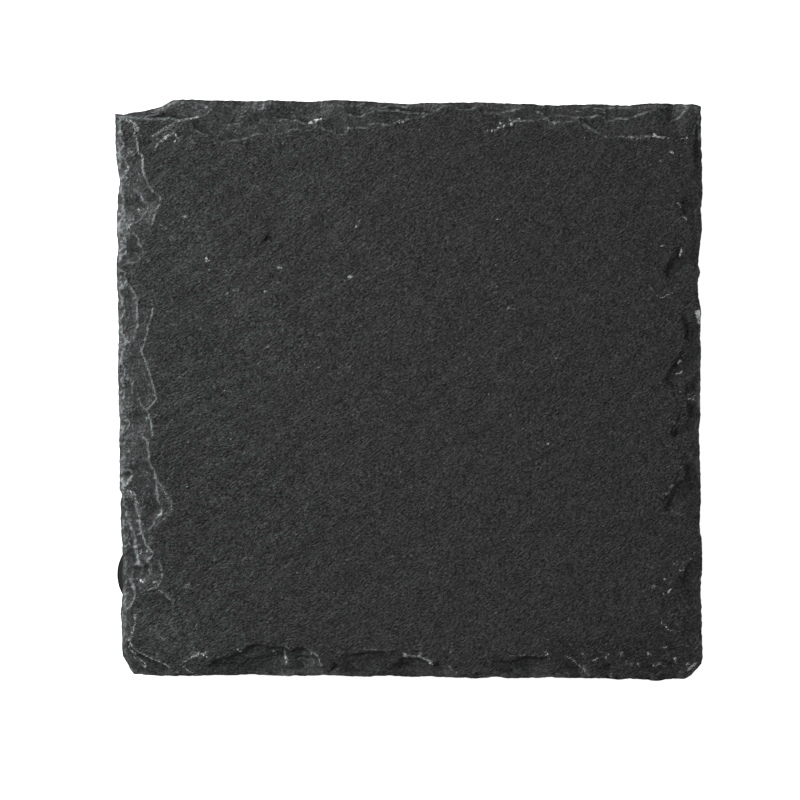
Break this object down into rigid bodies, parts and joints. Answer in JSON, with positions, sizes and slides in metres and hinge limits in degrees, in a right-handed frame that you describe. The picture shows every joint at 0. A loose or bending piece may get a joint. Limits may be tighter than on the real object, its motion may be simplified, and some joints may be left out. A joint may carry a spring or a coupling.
{
  "type": "slate slab",
  "caption": "Square slab of dark split slate with hand-chipped edges, standing on round black foam feet stuck to its underside.",
  "frame": {"origin": "on the surface that the feet stand on, below the middle of the slab's outline", "axes": "+Z out of the split top face; +X and +Y along the sides of the square, +Y to the rear"},
  "size_m": [0.1, 0.0992, 0.0078],
  "materials": {
    "slate": "matt split stone, fine grain",
    "foam": "matt closed-cell foam",
    "adhesive": "black acrylic adhesive, faintly glossy"
  },
  "bodies": {
    "root": {"slate_slab": "slate", "foot_front_left": "foam", "adhesive_front_left": "adhesive", "foot_front_right": "foam", "adhesive_front_right": "adhesive", "foot_rear_left": "foam", "adhesive_rear_left": "adhesive", "foot_rear_right": "foam", "adhesive_rear_right": "adhesive"}
  },
  "joints": []
}
